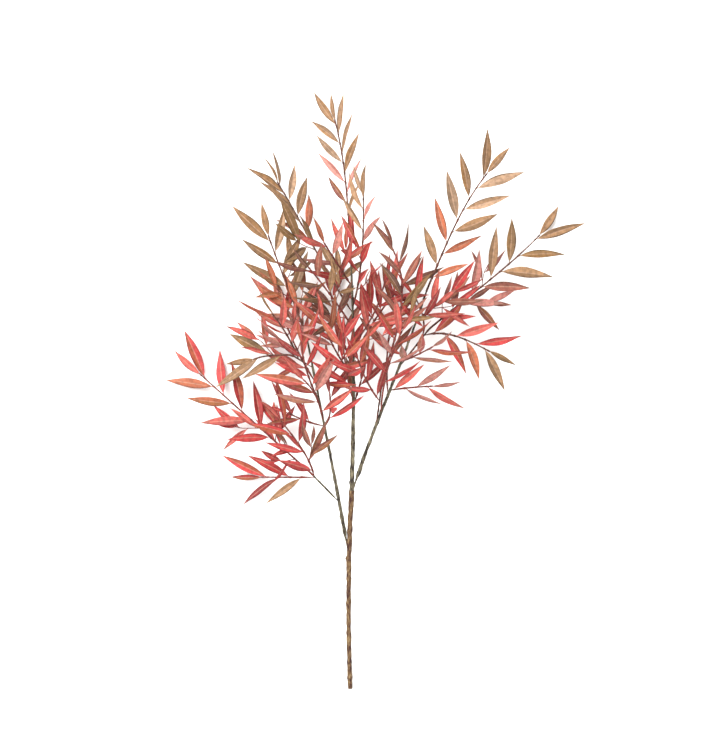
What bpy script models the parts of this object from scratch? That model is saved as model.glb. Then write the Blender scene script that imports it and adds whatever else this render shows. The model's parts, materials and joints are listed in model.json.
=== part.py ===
# Artificial bog myrtle spray with a cut end: one wired stem forks into three boughs, and moulded
# sprigs of lance-shaped leaves grow from them. The spray lies on a flat surface.
# Metres, +Z up. X runs across the spray, Y from the cut end to the top, and Z is height above
# the surface. The spray is modelled from its cut end and moved to its own centre at the end.

import math
import random

import bmesh
import bpy
from mathutils import Quaternion, Vector
from mathutils.bvhtree import BVHTree

SPRAY_NAME = "bog_myrtle_spray"
SEED = 7
SEEDS_PER_SPRAY = 1000
CLEARANCE = 0.0003
WELD_DISTANCE = 1e-6
UP = Vector((0, 0, 1))

# Stem and boughs: round limbs with a narrow neck where they leave their parent
LIMB_STEPS = 9
LIMB_BEVEL_RESOLUTION = 2
NECK_LENGTH = 0.014
NECK_SHARE = 0.45

# Twig of a sprig
TWIG_STEPS = 8
TWIG_BEVEL_RESOLUTION = 1
TWIG_ROOT_RADIUS = 0.0013
TWIG_TIP_RADIUS = 0.0008

# Leaves of a sprig, counted from its tip
LEAF_LENGTH = 0.080
LEAF_SHARES = (0.68, 1.0, 0.94, 0.90, 0.90, 0.98, 0.97, 0.94, 0.84, 0.80, 0.72, 0.64)
LEAF_WIDTH_SHARE = 0.168
LEAF_THICKNESS_SHARE = 0.016
LEAF_STATIONS = ((0.16, 0.52), (0.38, 0.94), (0.60, 0.97), (0.82, 0.56))
LEAF_ROOT_HALF_WIDTH = 0.0005
LEAF_ROOT_DEPTH = 0.0008
FIRST_LEAF_SPACE = 0.013
LEAF_SPACE = 0.0205
TIP_LEAF_SINK = 0.004
SPREAD_AT_TIP = 29
SPREAD_AT_ROOT = 45
TIP_LEAF_TURN = 5
LEAF_DROOP = 0.09
LEAF_CUP = 12

# How far one leaf strays from the rule: its spread, lift and twist in degrees, and its length
SPREAD_JITTER = 4
LIFT_JITTER = 12
TWIST_JITTER = 25
LENGTH_JITTER = 0.04

# Lifts tried in turn (degrees) for a leaf that would touch a limb or another leaf, and the room
# kept round each leaf. A leaf that touches at every lift is left out.
LEAF_TRIES = (0, 14, -14, 28, -28, 42, -42, 56)
LEAF_ROOM = 0.00025

# The stem stands on its cut end's lower edge and climbs to its fork
STEM_RADIUS = 0.0034

# Each limb: what it grows on, the height along the spray where it leaves, its tip, how far it
# turns (degrees, left is positive) and climbs off its chord at both ends, and its radii
LIMBS = {
    "stem": {
        "on": None, "up": 0, "tip": (0.003, 0.339, 0.046),
        "turn": (2, -3), "climb": (0, 0), "radii": (STEM_RADIUS, 0.0041),
    },
    "bough_centre": {
        "on": "stem", "up": None, "tip": (0.000, 0.752, 0.092),
        "turn": (-2, 3), "climb": (0, 0), "radii": (0.0035, 0.0012),
    },
    "bough_left": {
        "on": "stem", "up": 0.225, "tip": (-0.073, 0.601, 0.070),
        "turn": (-1, 0), "climb": (0, 0), "radii": (0.0030, 0.0013),
    },
    "bough_right": {
        "on": "stem", "up": 0.334, "tip": (0.129, 0.677, 0.078),
        "turn": (2, 3), "climb": (0, 0), "radii": (0.0031, 0.0013),
    },
    "branch_low_left": {
        "on": "bough_left", "up": 0.319, "tip": (-0.065, 0.367, 0.036),
        "turn": (0, 0), "climb": (0, 0), "radii": (0.0017, 0.0013),
    },
    "branch_mid_left": {
        "on": "bough_left", "up": 0.546, "tip": (-0.097, 0.567, 0.078),
        "turn": (0, 0), "climb": (0, 0), "radii": (0.0013, 0.0012),
    },
    "branch_inner_right": {
        "on": "bough_right", "up": 0.448, "tip": (0.056, 0.536, 0.088),
        "turn": (0, 0), "climb": (0, 0), "radii": (0.0016, 0.0012),
    },
    "branch_outer_right": {
        "on": "bough_right", "up": 0.546, "tip": (0.132, 0.610, 0.060),
        "turn": (0, 0), "climb": (0, 0), "radii": (0.0014, 0.0012),
    },
}

# Leaf colours, from the crown's inside to its tips
TINTS = {
    "red": (0.60, 0.045, 0.035),
    "deep_red": (0.36, 0.03, 0.025),
    "coral": (0.72, 0.13, 0.07),
    "brown": (0.20, 0.06, 0.025),
    "russet": (0.42, 0.14, 0.06),
    "tan": (0.52, 0.25, 0.10),
}
BARK_TINT = (0.16, 0.10, 0.06)

# Each sprig: its limb, the height where it leaves (None at the limb's tip), the twig's tip, its
# turn and climb, its most leaves, the side of its first side leaf (1 right, -1 left), the roll of
# its leaf plane about the twig, its size against the standard mould, and its colour. Where open
# is given, it widens or narrows the angle between the leaves and the twig.
SPRIGS = {
    "sprig_far_left": {
        "on": "branch_low_left", "up": None, "tip": (-0.256, 0.536, 0.009), "turn": (0, 0),
        "climb": (6, -6), "leaves": 10, "side": 1, "roll": 8, "size": 1.05, "tint": "russet",
    },
    "sprig_low_left": {
        "on": "branch_low_left", "up": 0.361, "tip": (-0.152, 0.360, 0.010), "turn": (0, 0),
        "climb": (8, -8), "leaves": 5, "side": 1,
        "roll": 0, "size": 1.0, "tint": "deep_red", "open": 0.85,
    },
    "sprig_low_left_up": {
        "on": "branch_low_left", "up": 0.362, "tip": (-0.116, 0.458, 0.082), "turn": (-18, 8),
        "climb": (8, -8), "leaves": 7, "side": 1, "roll": 20, "size": 0.95, "tint": "red",
    },
    "sprig_left_low": {
        "on": "bough_left", "up": 0.448, "tip": (-0.105, 0.470, 0.052), "turn": (10, -5),
        "climb": (5, -5), "leaves": 4, "side": 1, "roll": 30, "size": 0.75, "tint": "red",
    },
    "sprig_left_slim": {
        "on": "bough_left", "up": 0.456, "tip": (-0.078, 0.527, 0.105), "turn": (-14, 24),
        "climb": (5, -5), "leaves": 6, "side": -1,
        "roll": -10, "size": 1.0, "tint": "coral", "open": 1.3,
    },
    "sprig_mid_left_drooping": {
        "on": "branch_mid_left", "up": None, "tip": (-0.163, 0.560, 0.046), "turn": (-8, 14),
        "climb": (8, -12), "leaves": 6, "side": -1,
        "roll": 12, "size": 1.05, "tint": "tan", "open": 0.85,
    },
    "sprig_mid_left": {
        "on": "branch_mid_left", "up": 0.560, "tip": (-0.128, 0.635, 0.120), "turn": (-8, 8),
        "climb": (5, -5), "leaves": 7, "side": -1, "roll": -35, "size": 0.85, "tint": "coral",
    },
    "sprig_left_tip": {
        "on": "bough_left", "up": None, "tip": (-0.137, 0.768, 0.066), "turn": (0, -2),
        "climb": (0, 0), "leaves": 10, "side": -1, "roll": 5, "size": 0.98, "tint": "tan",
    },
    "sprig_upper_left": {
        "on": "bough_centre", "up": 0.637, "tip": (-0.123, 0.860, 0.030), "turn": (4, 2),
        "climb": (6, -6), "leaves": 9, "side": 1, "roll": 42, "size": 0.76, "tint": "tan", "open": 0.85,
    },
    "sprig_inner_left": {
        "on": "bough_centre", "up": 0.612, "tip": (-0.069, 0.712, 0.150), "turn": (-4, 4),
        "climb": (5, -5), "leaves": 7, "side": -1, "roll": -20, "size": 0.85, "tint": "brown",
    },
    "sprig_inner_top": {
        "on": "bough_centre", "up": 0.681, "tip": (-0.043, 0.752, 0.145), "turn": (0, 0),
        "climb": (5, -5), "leaves": 6, "side": -1, "roll": 0, "size": 0.9, "tint": "coral",
    },
    "sprig_top": {
        "on": "bough_centre", "up": None, "tip": (-0.026, 0.966, 0.024), "turn": (-4, 8),
        "climb": (0, -6), "leaves": 11, "side": -1,
        "roll": -30, "size": 0.88, "tint": "tan", "open": 0.7,
    },
    "sprig_top_right": {
        "on": "bough_centre", "up": 0.645, "tip": (0.022, 0.834, 0.140), "turn": (-10, 6),
        "climb": (4, -4), "leaves": 10, "side": 1, "roll": -55, "size": 0.88, "tint": "coral",
    },
    "sprig_inner_right": {
        "on": "branch_inner_right", "up": None, "tip": (0.069, 0.745, 0.128), "turn": (-16, 34),
        "climb": (4, -4), "leaves": 10, "side": -1, "roll": 30, "size": 0.9, "tint": "brown",
    },
    "sprig_centre_right": {
        "on": "bough_centre", "up": 0.585, "tip": (0.058, 0.689, 0.104), "turn": (-14, 14),
        "climb": (4, -4), "leaves": 6, "side": 1, "roll": 24, "size": 0.85, "tint": "red",
    },
    "sprig_centre_right_outer": {
        "on": "bough_centre", "up": 0.560, "tip": (0.094, 0.692, 0.070), "turn": (10, -8),
        "climb": (4, -4), "leaves": 7, "side": 1, "roll": -12, "size": 0.9, "tint": "coral",
    },
    "sprig_right_tip": {
        "on": "bough_right", "up": None, "tip": (0.231, 0.873, 0.060), "turn": (4, -12),
        "climb": (0, -4), "leaves": 12, "side": -1, "roll": 4, "size": 1.02, "tint": "tan",
    },
    "sprig_far_right": {
        "on": "branch_outer_right", "up": None, "tip": (0.323, 0.772, 0.010), "turn": (0, 6),
        "climb": (4, -6), "leaves": 12, "side": 1, "roll": -4, "size": 1.03, "tint": "russet",
    },
    "sprig_far_right_drooping": {
        "on": "branch_outer_right", "up": 0.600, "tip": (0.238, 0.573, 0.012), "turn": (30, -12),
        "climb": (6, -8), "leaves": 7, "side": 1, "roll": 14, "size": 0.98, "tint": "russet",
    },
    "sprig_mid_right": {
        "on": "bough_right", "up": 0.556, "tip": (0.138, 0.581, 0.112), "turn": (-4, 4),
        "climb": (6, -6), "leaves": 6, "side": 1, "roll": 35, "size": 0.9, "tint": "red",
    },
    "sprig_low_right": {
        "on": "bough_right", "up": 0.508, "tip": (0.140, 0.515, 0.058), "turn": (4, -2),
        "climb": (5, -5), "leaves": 7, "side": 1, "roll": 40, "size": 0.9, "tint": "red",
    },
    "sprig_inner_low": {
        "on": "branch_inner_right", "up": 0.490, "tip": (0.013, 0.561, 0.120), "turn": (10, -10),
        "climb": (5, -5), "leaves": 6, "side": 1, "roll": 10, "size": 0.88, "tint": "red",
    },
    "sprig_left_inner_low": {
        "on": "bough_left", "up": 0.446, "tip": (-0.034, 0.505, 0.080), "turn": (-26, 12),
        "climb": (5, -5), "leaves": 6, "side": 1, "roll": 30, "size": 0.9, "tint": "red",
    },
    "sprig_left_inner": {
        "on": "bough_left", "up": 0.508, "tip": (-0.008, 0.567, 0.100), "turn": (-10, 6),
        "climb": (5, -5), "leaves": 7, "side": -1, "roll": -20, "size": 0.88, "tint": "red",
    },
    "sprig_centre_slim": {
        "on": "bough_centre", "up": 0.481, "tip": (0.019, 0.525, 0.050), "turn": (0, 0),
        "climb": (0, 0), "leaves": 4, "side": 1, "roll": 10, "size": 0.8, "tint": "deep_red",
    },
    "sprig_right_inner_up": {
        "on": "branch_outer_right", "up": 0.596, "tip": (0.105, 0.668, 0.100), "turn": (-30, 20),
        "climb": (6, -6), "leaves": 6, "side": 1, "roll": -20, "size": 0.88, "tint": "red",
    },
    "sprig_right_mid": {
        "on": "bough_right", "up": 0.620, "tip": (0.176, 0.673, 0.095), "turn": (8, -8),
        "climb": (6, -6), "leaves": 7, "side": -1, "roll": 20, "size": 0.9, "tint": "red",
    },
    "sprig_left_centre": {
        "on": "bough_left", "up": 0.485, "tip": (-0.080, 0.589, 0.125), "turn": (8, -14),
        "climb": (8, -8), "leaves": 7, "side": 1, "roll": 0, "size": 0.9, "tint": "red",
    },
    "sprig_centre_left": {
        "on": "bough_centre", "up": 0.530, "tip": (-0.046, 0.625, 0.120), "turn": (10, -10),
        "climb": (6, -6), "leaves": 8, "side": -1, "roll": 18, "size": 0.92, "tint": "coral",
    },
    "sprig_left_back": {
        "on": "bough_left", "up": 0.520, "tip": (-0.120, 0.658, 0.017), "turn": (8, -10),
        "climb": (-4, 4), "leaves": 8, "side": -1, "roll": -15, "size": 0.95, "tint": "coral",
    },
    "sprig_centre_back": {
        "on": "bough_centre", "up": 0.545, "tip": (-0.033, 0.674, 0.014), "turn": (6, -8),
        "climb": (-4, 4), "leaves": 8, "side": 1, "roll": 12, "size": 0.9, "tint": "deep_red",
    },
    "sprig_right_back": {
        "on": "bough_right", "up": 0.500, "tip": (0.079, 0.657, 0.012), "turn": (10, -12),
        "climb": (-4, 4), "leaves": 8, "side": -1, "roll": -10, "size": 0.9, "tint": "deep_red",
    },
    "sprig_centre_front": {
        "on": "bough_centre", "up": 0.490, "tip": (-0.011, 0.603, 0.150), "turn": (8, -8),
        "climb": (8, -8), "leaves": 7, "side": 1, "roll": -25, "size": 0.9, "tint": "red",
    },
    "sprig_right_front": {
        "on": "bough_right", "up": 0.470, "tip": (0.086, 0.607, 0.150), "turn": (12, -12),
        "climb": (8, -8), "leaves": 7, "side": -1, "roll": 25, "size": 0.9, "tint": "red",
    },
}


def new_collection(name):
    collection = bpy.data.collections.new(name)
    bpy.context.scene.collection.children.link(collection)
    return collection


def plain_material(name, colour, roughness):
    material = bpy.data.materials.new(name)
    material.use_nodes = True
    shader = material.node_tree.nodes["Principled BSDF"]
    shader.inputs["Base Color"].default_value = (*colour, 1)
    shader.inputs["Roughness"].default_value = roughness
    material.diffuse_color = (*colour, 1)
    return material


def turned(chord, turn, climb):
    """The chord's direction, turned in plan and climbing by two angles in degrees."""
    flat = math.hypot(chord.x, chord.y)
    heading = math.atan2(chord.y, chord.x) + math.radians(turn)
    rise = math.atan2(chord.z, flat) + math.radians(climb)
    return Vector((math.cos(heading) * math.cos(rise), math.sin(heading) * math.cos(rise), math.sin(rise)))


def stations_along(steps, length, necked):
    """Shares of a limb's length at which it has a ring, with one where its neck ends."""
    stations = [k / steps for k in range(steps + 1)]
    if not necked:
        return stations
    neck = min(NECK_LENGTH / length, 0.5)
    return sorted([s for s in stations if abs(s - neck) > 0.25 / steps] + [neck])


def curve_points(root, tip, start, end, stations):
    """Points on one smooth curve that leaves root along start and reaches tip along end."""
    reach = (tip - root).length
    points = []
    for s in stations:
        points.append(
            root * (2 * s**3 - 3 * s**2 + 1)
            + start * (reach * (s**3 - 2 * s**2 + s))
            + tip * (3 * s**2 - 2 * s**3)
            + end * (reach * (s**3 - s**2))
        )
    return points


def at_height(limb, height):
    """The axis point, direction and radius of a limb where it passes a height along the spray."""
    points, radii = limb["points"], limb["radii"]
    for k in range(len(points) - 1):
        low, high = points[k], points[k + 1]
        if low.y <= height <= high.y:
            share = (height - low.y) / (high.y - low.y)
            radius = radii[k] + (radii[k + 1] - radii[k]) * share
            return low.lerp(high, share), (high - low).normalized(), radius
    raise ValueError(f"no point at height {height}")


def root_on(parent, height, tip, turn, climb, radius):
    """Where a limb or twig of this radius starts, clear of its parent, and in which direction."""
    if height is None:
        end = parent["points"][-1]
        along = (end - parent["points"][-2]).normalized()
        start = turned(tip - end, turn, climb)
        return end + along * CLEARANCE + start * (radius * math.sin(along.angle(start))), start
    axis, along, parent_radius = at_height(parent, height)
    start = turned(tip - axis, turn, climb)
    angle = along.angle(start)
    reach = (parent_radius + CLEARANCE + radius * math.cos(angle)) / math.sin(angle)
    return axis + start * reach, start


def lay_out(row, parent, radii, steps):
    """The points and radii of a limb or twig, from its row and its parent."""
    tip = Vector(row["tip"])
    if parent is None:
        root = Vector((0, 0, radii[0]))
        start = turned(tip - root, row["turn"][0], row["climb"][0])
        root = root * math.hypot(start.x, start.y)
        neck = 1
    else:
        neck = 1 if row["up"] is None else NECK_SHARE
        root, start = root_on(parent, row["up"], tip, row["turn"][0], row["climb"][0], radii[0] * neck)
    end = turned(tip - root, row["turn"][1], row["climb"][1])
    length = (tip - root).length
    points = curve_points(root, tip, start, end, stations_along(steps, length, neck < 1))
    widths = []
    run = 0.0
    for k, point in enumerate(points):
        run += (point - points[k - 1]).length if k else 0
        swelling = min(1, neck + (1 - neck) * run / NECK_LENGTH)
        widths.append((radii[0] + (radii[1] - radii[0]) * min(1, run / length)) * swelling)
    return {"points": points, "radii": widths}


def tube(name, points, radii, bevel_resolution, collection):
    """A round tapering limb as a closed mesh, from a bevelled curve with filled caps."""
    curve = bpy.data.curves.new(name, "CURVE")
    curve.dimensions = "3D"
    curve.bevel_depth = 1
    curve.bevel_resolution = bevel_resolution
    curve.use_fill_caps = True
    spline = curve.splines.new("POLY")
    spline.points.add(len(points) - 1)
    for spot, point, radius in zip(spline.points, points, radii):
        spot.co = (*point, 1)
        spot.radius = radius
    guide = bpy.data.objects.new(name + "_curve", curve)
    collection.objects.link(guide)
    mesh = evaluated_mesh(guide)
    bpy.data.objects.remove(guide)
    weld(mesh)
    mesh.name = name
    return linked(name, mesh, collection)


def linked(name, mesh, collection):
    thing = bpy.data.objects.new(name, mesh)
    collection.objects.link(thing)
    return thing


def evaluated_mesh(thing):
    bpy.context.view_layer.update()
    graph = bpy.context.evaluated_depsgraph_get()
    return bpy.data.meshes.new_from_object(thing.evaluated_get(graph))


def weld(mesh):
    work = bmesh.new()
    work.from_mesh(mesh)
    bmesh.ops.remove_doubles(work, verts=work.verts, dist=WELD_DISTANCE)
    bmesh.ops.recalc_face_normals(work, faces=work.faces)
    work.to_mesh(mesh)
    work.free()


def solid_tree(thing):
    """A search tree of a mesh object's faces, for the clearance test."""
    mesh = thing.data
    return BVHTree.FromPolygons([v.co for v in mesh.vertices], [p.vertices for p in mesh.polygons])


def at_distance_from_tip(points, distance):
    """The point and direction on a twig's axis this far back from its tip, or None past its root."""
    left = distance
    for k in range(len(points) - 1, 0, -1):
        span = (points[k] - points[k - 1]).length
        if left <= span:
            return points[k].lerp(points[k - 1], left / span), (points[k] - points[k - 1]).normalized()
        left -= span
    return None


def leaf_rings(root, along, normal, length, room=0.0):
    """The sections of one leaf, swollen by some room: thin triangles, midrib at the lower corner."""
    across = along.cross(normal).normalized()
    half = length * LEAF_WIDTH_SHARE / 2
    depth = length * LEAF_THICKNESS_SHARE
    sections = [(0.0, LEAF_ROOT_HALF_WIDTH, LEAF_ROOT_DEPTH)]
    sections += [(s, half * w, depth) for s, w in LEAF_STATIONS]
    sections += [(1.0, 0.0, 0.0)]
    rings = []
    for s, w, d in sections:
        centre = root + along * (length * s) - normal * (LEAF_DROOP * length * s * s)
        rise = normal * (d / 2 + room)
        edge = across * (w + room * 2)
        ring = [centre + rise - edge, centre + rise + edge, centre - rise]
        sunk = max(0.0, -min(corner.z for corner in ring))
        rings.append([corner + UP * sunk for corner in ring])
    if room == 0:
        rings[-1] = rings[-1][:1]
    return rings


def loft(rings):
    """Vertices and faces of a closed skin through rings of three corners; the last may be a point."""
    corners = [corner for ring in rings for corner in ring]
    faces = [(2, 1, 0)]
    for k in range(len(rings) - 1):
        here, ahead = 3 * k, 3 * (k + 1)
        for i in range(3):
            j = (i + 1) % 3
            if len(rings[k + 1]) == 1:
                faces.append((here + i, here + j, ahead))
            else:
                faces.append((here + i, here + j, ahead + j, ahead + i))
    if len(rings[-1]) == 3:
        last = len(corners) - 3
        faces.append((last, last + 1, last + 2))
    return corners, faces


def leaf_poses(row, points, rng):
    """Each leaf of a sprig, from its tip to its root: root, direction, normal and length."""
    for k in range(row["leaves"]):
        distance = TIP_LEAF_SINK if k == 0 else (FIRST_LEAF_SPACE + LEAF_SPACE * (k - 1)) * row["size"]
        side = row["side"] * (1 if k % 2 else -1)
        spread = SPREAD_AT_ROOT - (SPREAD_AT_ROOT - SPREAD_AT_TIP) / k if k else TIP_LEAF_TURN
        spread = spread * row.get("open", 1) + rng.uniform(-SPREAD_JITTER, SPREAD_JITTER)
        lift = rng.uniform(-LIFT_JITTER, LIFT_JITTER)
        twist = rng.uniform(-TWIST_JITTER, TWIST_JITTER)
        length = LEAF_LENGTH * LEAF_SHARES[k] * row["size"]
        length *= rng.uniform(1 - LENGTH_JITTER, 1 + LENGTH_JITTER)
        found = at_distance_from_tip(points, distance)
        if found is None:
            return
        root, along = found
        flat = (UP - along * UP.dot(along)).normalized()
        normal = Quaternion(along, math.radians(row["roll"])) @ flat
        right = along.cross(normal)
        angle = math.radians(spread)
        out = along * math.cos(angle) + right * (side * math.sin(angle))
        yield root, out, normal, length, lift, twist


def posed(out, normal, lift, twist):
    """A leaf's direction lifted out of the sprig's plane, and its normal twisted about it."""
    raised = Quaternion(out.cross(normal).normalized(), math.radians(lift))
    along = raised @ out
    return along, Quaternion(along, math.radians(twist)) @ (raised @ normal)


def grow_leaves(name, row, points, others, collection):
    """The leaves of one sprig that stay clear of everything else, as closed meshes."""
    rng = random.Random(SEED * SEEDS_PER_SPRAY + list(SPRIGS).index(name))
    leaves = []
    for root, out, normal, length, lift, twist in leaf_poses(row, points, rng):
        for extra in LEAF_TRIES:
            along, face = posed(out, normal, LEAF_CUP + lift + extra, twist)
            swollen = BVHTree.FromPolygons(*loft(leaf_rings(root, along, face, length, LEAF_ROOM)))
            if any(swollen.overlap(other) for other in others):
                continue
            corners, faces = loft(leaf_rings(root, along, face, length))
            mesh = bpy.data.meshes.new(f"{name}_leaf_{len(leaves)}")
            mesh.from_pydata(corners, [], faces)
            weld(mesh)
            leaves.append(linked(mesh.name, mesh, collection))
            break
    return leaves


def fuse(sprig, leaves_collection):
    """Joins a sprig's leaves to its twig in one union."""
    union = sprig.modifiers.new("join_leaves", "BOOLEAN")
    union.operation = "UNION"
    union.solver = "EXACT"
    union.operand_type = "COLLECTION"
    union.collection = leaves_collection
    mesh = evaluated_mesh(sprig)
    sprig.modifiers.clear()
    sprig.data = mesh
    for leaf in list(leaves_collection.objects):
        bpy.data.objects.remove(leaf)
    bpy.data.collections.remove(leaves_collection)


def centre_on_base(things):
    """Moves the whole spray so that its box's base centre is the origin."""
    corners = [v.co for thing in things for v in thing.data.vertices]
    middle = [(min(c[i] for c in corners) + max(c[i] for c in corners)) / 2 for i in range(2)]
    for thing in things:
        thing.location = (-middle[0], -middle[1], 0)
    bpy.context.view_layer.update()


def build_spray():
    for thing in list(bpy.data.objects):
        bpy.data.objects.remove(thing)
    parts = new_collection(SPRAY_NAME)
    bark = plain_material("bark", BARK_TINT, 0.75)
    tints = {name: plain_material(name, colour, 0.6) for name, colour in TINTS.items()}

    laid, things, trees = {}, {}, {}
    for name, row in LIMBS.items():
        laid[name] = lay_out(row, laid.get(row["on"]), row["radii"], LIMB_STEPS)
        things[name] = tube(name, laid[name]["points"], laid[name]["radii"], LIMB_BEVEL_RESOLUTION, parts)
        things[name].data.materials.append(bark)
    for name, row in SPRIGS.items():
        radii = (TWIG_ROOT_RADIUS, TWIG_TIP_RADIUS)
        laid[name] = lay_out(row, laid[row["on"]], radii, TWIG_STEPS)
        things[name] = tube(name, laid[name]["points"], laid[name]["radii"], TWIG_BEVEL_RESOLUTION, parts)
    trees = {name: solid_tree(thing) for name, thing in things.items()}
    for name, row in SPRIGS.items():
        leaves = new_collection(name + "_leaves")
        others = [tree for other, tree in trees.items() if other != name]
        grown = grow_leaves(name, row, laid[name]["points"], others, leaves)
        trees.update({leaf.name: solid_tree(leaf) for leaf in grown})
        fuse(things[name], leaves)
        things[name].data.materials.clear()
        things[name].data.materials.append(tints[row["tint"]])
    centre_on_base(things.values())


build_spray()
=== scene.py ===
import json
import math
import random
import time

import bpy
import numpy as np
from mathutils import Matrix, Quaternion, Vector, noise
from mathutils.bvhtree import BVHTree


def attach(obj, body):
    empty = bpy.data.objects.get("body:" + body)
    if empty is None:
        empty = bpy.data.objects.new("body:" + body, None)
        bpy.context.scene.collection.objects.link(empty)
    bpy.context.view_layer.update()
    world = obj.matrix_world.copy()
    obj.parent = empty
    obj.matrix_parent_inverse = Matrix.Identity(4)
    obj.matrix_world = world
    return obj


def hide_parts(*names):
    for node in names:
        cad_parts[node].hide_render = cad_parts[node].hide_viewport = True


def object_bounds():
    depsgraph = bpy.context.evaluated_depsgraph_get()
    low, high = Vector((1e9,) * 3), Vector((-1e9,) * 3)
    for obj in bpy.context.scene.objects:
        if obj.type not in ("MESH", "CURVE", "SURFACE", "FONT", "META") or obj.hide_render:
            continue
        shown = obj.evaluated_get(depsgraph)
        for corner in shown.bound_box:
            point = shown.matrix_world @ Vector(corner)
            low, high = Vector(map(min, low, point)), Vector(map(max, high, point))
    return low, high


# Artificial bog myrtle spray with a cut end, lying on a pale floor and seen from above.
# Metres, +Z up. X runs across the spray, Y from the cut end to the top.
# The spray grows here by the same rule as its solids, so each leaf lies where its solid lies.

started = time.time()
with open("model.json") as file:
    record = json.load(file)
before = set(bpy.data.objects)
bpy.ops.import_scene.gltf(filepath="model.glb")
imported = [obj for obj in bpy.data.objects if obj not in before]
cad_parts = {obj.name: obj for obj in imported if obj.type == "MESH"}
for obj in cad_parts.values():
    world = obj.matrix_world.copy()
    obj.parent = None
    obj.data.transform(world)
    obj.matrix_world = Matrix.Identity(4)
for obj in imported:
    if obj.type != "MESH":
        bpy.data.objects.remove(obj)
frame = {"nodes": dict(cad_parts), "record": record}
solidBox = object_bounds()
up = Vector((0, 0, 1))


def report(stage):
    print(f"[{time.time() - started:5.1f} s] {stage}")


# The growth rule, in the spray's own coordinates: its cut end is at the origin
growth = {
    "seed": 7,
    "seedsPerSpray": 1000,
    "clearance": 0.0003,  # between a limb and what it grows on
    "limbSteps": 9,
    "twigSteps": 8,
    "twigRadii": (0.0013, 0.0008),
    "neckLength": 0.014,  # a side limb swells to its full radius over this length
    "neckShare": 0.45,  # of its radius, where it begins
    "longestNeck": 0.5,  # as a share of the limb
    "neckRoom": 0.25,  # steps between the neck and the next station
    "jointDepth": 0.004,  # how far the bark of a continued limb begins inside its parent
}

# Each limb: what it grows on, the height where it leaves (None at the tip), its tip, how far it
# turns and climbs off its chord at both ends (degrees), its radii, and its bark
limbs = {
    "stem": dict(on=None, up=0, tip=(0.003, 0.339, 0.046), turn=(2, -3), climb=(0, 0),
        radii=(0.0034, 0.0041), bark="brown"),
    "bough_centre": dict(on="stem", up=None, tip=(0.000, 0.752, 0.092), turn=(-2, 3),
        climb=(0, 0), radii=(0.0035, 0.0012), bark="olive"),
    "bough_left": dict(on="stem", up=0.225, tip=(-0.073, 0.601, 0.070), turn=(-1, 0),
        climb=(0, 0), radii=(0.0030, 0.0013), bark="olive"),
    "bough_right": dict(on="stem", up=0.334, tip=(0.129, 0.677, 0.078), turn=(2, 3),
        climb=(0, 0), radii=(0.0031, 0.0013), bark="olive"),
    "branch_low_left": dict(on="bough_left", up=0.319, tip=(-0.065, 0.367, 0.036),
        turn=(0, 0), climb=(0, 0), radii=(0.0017, 0.0013), bark="olive"),
    "branch_mid_left": dict(on="bough_left", up=0.546, tip=(-0.097, 0.567, 0.078),
        turn=(0, 0), climb=(0, 0), radii=(0.0013, 0.0012), bark="reddish"),
    "branch_inner_right": dict(on="bough_right", up=0.448, tip=(0.056, 0.536, 0.088),
        turn=(0, 0), climb=(0, 0), radii=(0.0016, 0.0012), bark="reddish"),
    "branch_outer_right": dict(on="bough_right", up=0.546, tip=(0.132, 0.610, 0.060),
        turn=(0, 0), climb=(0, 0), radii=(0.0014, 0.0012), bark="reddish"),
}

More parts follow.
